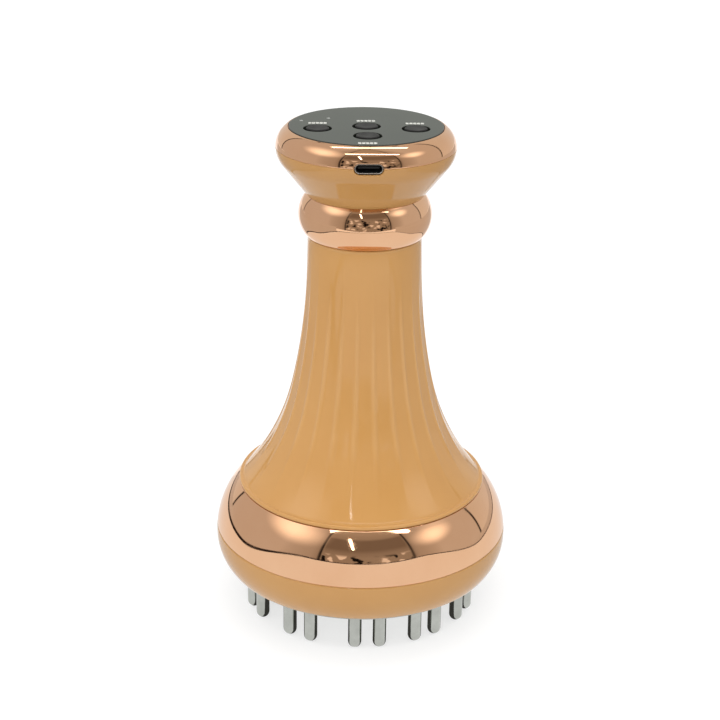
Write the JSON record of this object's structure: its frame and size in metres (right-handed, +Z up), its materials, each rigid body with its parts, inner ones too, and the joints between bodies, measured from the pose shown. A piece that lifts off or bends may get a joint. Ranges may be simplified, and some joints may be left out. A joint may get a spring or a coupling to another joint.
{
  "type": "electric meridian brush",
  "caption": "Hand-held electric massage brush: fluted flaring handle, round head with push buttons and a USB-C charging port, plated rings, and a base with paired metal pins.",
  "frame": {"origin": "on the handle's axis, level with the pin tips that it stands on", "axes": "+Z up along the handle towards the control panel; the charging port faces -Y"},
  "size_m": [0.1006, 0.1006, 0.1699],
  "materials": {
    "beige_abs": "glossy moulded ABS",
    "rose_gold_plate": "rose-gold electroplate on moulded ABS",
    "panel_acrylic": "polished dark acrylic",
    "button_abs": "glossy dark moulded ABS",
    "pale_abs": "satin moulded ABS",
    "pin_steel": "polished stainless steel",
    "port_steel": "drawn stainless sheet",
    "black_plastic": "moulded thermoplastic",
    "clear_acrylic": "clear moulded acrylic",
    "lamp_resin": "cast resin",
    "circuit_board": "solder mask on glass laminate",
    "ferrite": "sintered ferrite",
    "cell_wrap": "shrink film over a wound lithium cell",
    "nickel_strip": "rolled nickel",
    "foam": "cut foam",
    "frame_plastic": "moulded ABS",
    "motor_steel": "drawn and plated steel",
    "brass": "machined",
    "screw_steel": "zinc-plated steel",
    "lead_pvc": "extruded soft insulation"
  },
  "bodies": {
    "brush": {"base_ring": "rose_gold_plate", "base_screws": "screw_steel", "base_shell": "beige_abs", "board_screws": "screw_steel", "cell_leads": "lead_pvc", "cell_pad": "foam", "cell_tabs": "nickel_strip", "charge_coil": "ferrite", "control_board": "circuit_board", "control_chip": "black_plastic", "control_panel": "panel_acrylic", "electrode_board": "circuit_board", "electrode_leads": "lead_pvc", "handle_shell": "beige_abs", "head_bezel": "rose_gold_plate", "head_shell": "beige_abs", "indicator_lamps": "lamp_resin", "indicator_lenses": "clear_acrylic", "inner_frame": "frame_plastic", "lithium_cell": "cell_wrap", "motor_can": "motor_steel", "motor_end_cap": "frame_plastic", "motor_leads": "lead_pvc", "motor_magnets": "ferrite", "motor_retainer": "frame_plastic", "motor_terminals": "brass", "neck_ring": "rose_gold_plate", "neck_screws": "screw_steel", "pin_nuts": "screw_steel", "pin_plate": "pale_abs", "pins_negative": "pin_steel", "pins_positive": "pin_steel", "plate_screws": "screw_steel", "retainer_screws": "screw_steel", "switch_housings": "black_plastic", "usb_shell": "port_steel", "usb_tongue": "black_plastic"},
    "rotor": {"motor_shaft": "motor_steel", "motor_armature": "motor_steel", "motor_commutator": "brass", "eccentric_weight": "brass"},
    "button_left": {"button_left": "button_abs", "plunger_left": "black_plastic"},
    "button_back": {"button_back": "button_abs", "plunger_back": "black_plastic"},
    "button_right": {"button_right": "button_abs", "plunger_right": "black_plastic"},
    "button_front": {"button_front": "button_abs", "plunger_front": "black_plastic"}
  },
  "joints": [
    {"name": "press_left", "type": "slide", "parent": "brush", "child": "button_left", "axis": [0, 0, -1], "range_m": [0, 0.0005], "stiffness_N_per_m": 1500},
    {"name": "press_back", "type": "slide", "parent": "brush", "child": "button_back", "axis": [0, 0, -1], "range_m": [0, 0.0005], "stiffness_N_per_m": 1500},
    {"name": "press_right", "type": "slide", "parent": "brush", "child": "button_right", "axis": [0, 0, -1], "range_m": [0, 0.0005], "stiffness_N_per_m": 1500},
    {"name": "press_front", "type": "slide", "parent": "brush", "child": "button_front", "axis": [0, 0, -1], "range_m": [0, 0.0005], "stiffness_N_per_m": 1500},
    {"name": "motor_spin", "type": "hinge", "parent": "brush", "child": "rotor", "pos_m": [0, 0, 0.03], "axis": [0, 0, 1], "continuous": true}
  ]
}
